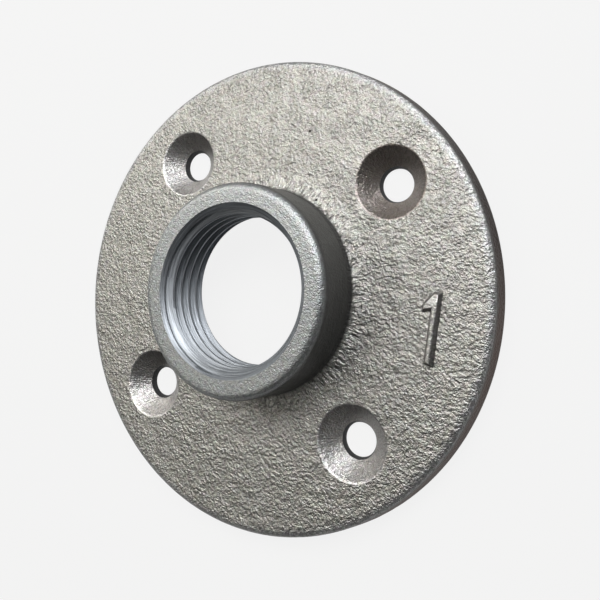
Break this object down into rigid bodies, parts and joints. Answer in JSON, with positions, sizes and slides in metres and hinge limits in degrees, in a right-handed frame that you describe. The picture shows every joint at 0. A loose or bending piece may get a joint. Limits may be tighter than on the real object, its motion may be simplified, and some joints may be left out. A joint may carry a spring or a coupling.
{
  "type": "railing flange",
  "caption": "Round cast-iron flange with a raised threaded socket for a pipe and countersunk screw holes around it.",
  "frame": {"origin": "centre of the plate's flat back, on the surface it is screwed to", "axes": "+Z along the bore, out of the hub's mouth; the screw holes stand midway between X and Y; the size numeral stands upright on the +X side with its top towards +Y"},
  "size_m": [0.0994, 0.0994, 0.0168],
  "materials": {
    "casting": "rough sand-cast skin with a dull silver-grey zinc coat, satin in the machined mouth and thread"
  },
  "bodies": {
    "root": {"flange": "casting"}
  },
  "joints": []
}
